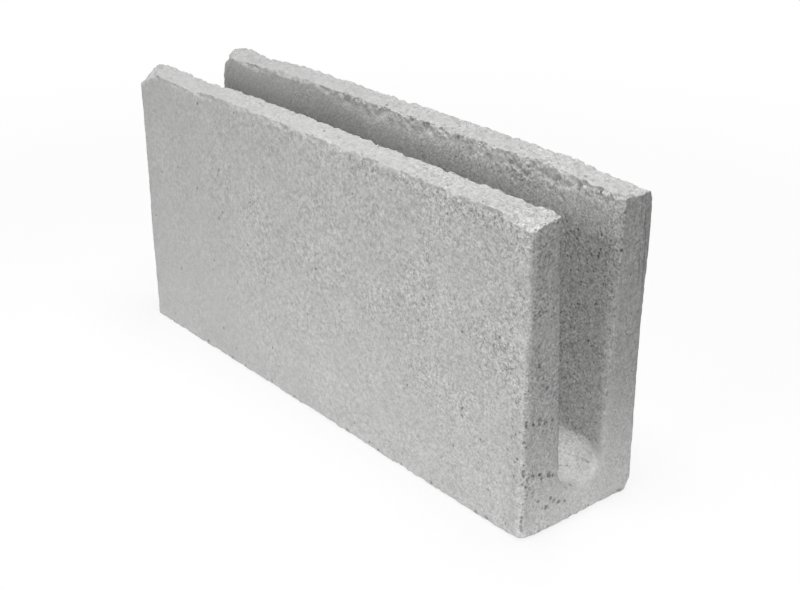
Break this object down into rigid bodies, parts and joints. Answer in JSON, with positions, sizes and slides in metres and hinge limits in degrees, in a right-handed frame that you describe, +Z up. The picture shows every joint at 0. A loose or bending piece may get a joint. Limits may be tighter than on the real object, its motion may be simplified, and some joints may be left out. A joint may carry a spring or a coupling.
{
  "type": "concrete channel block",
  "caption": "Pressed concrete masonry block with a deep round-bottomed channel open at the top and both ends, for lintels and bond beams.",
  "frame": {"origin": "middle of the bed face, which the block rests on", "axes": "+X along the block and its channel, +Y across it, +Z up out of the channel's mouth"},
  "size_m": [0.39, 0.09, 0.19],
  "materials": {
    "concrete": "matte"
  },
  "bodies": {
    "root": {"channel_block": "concrete"}
  },
  "joints": []
}
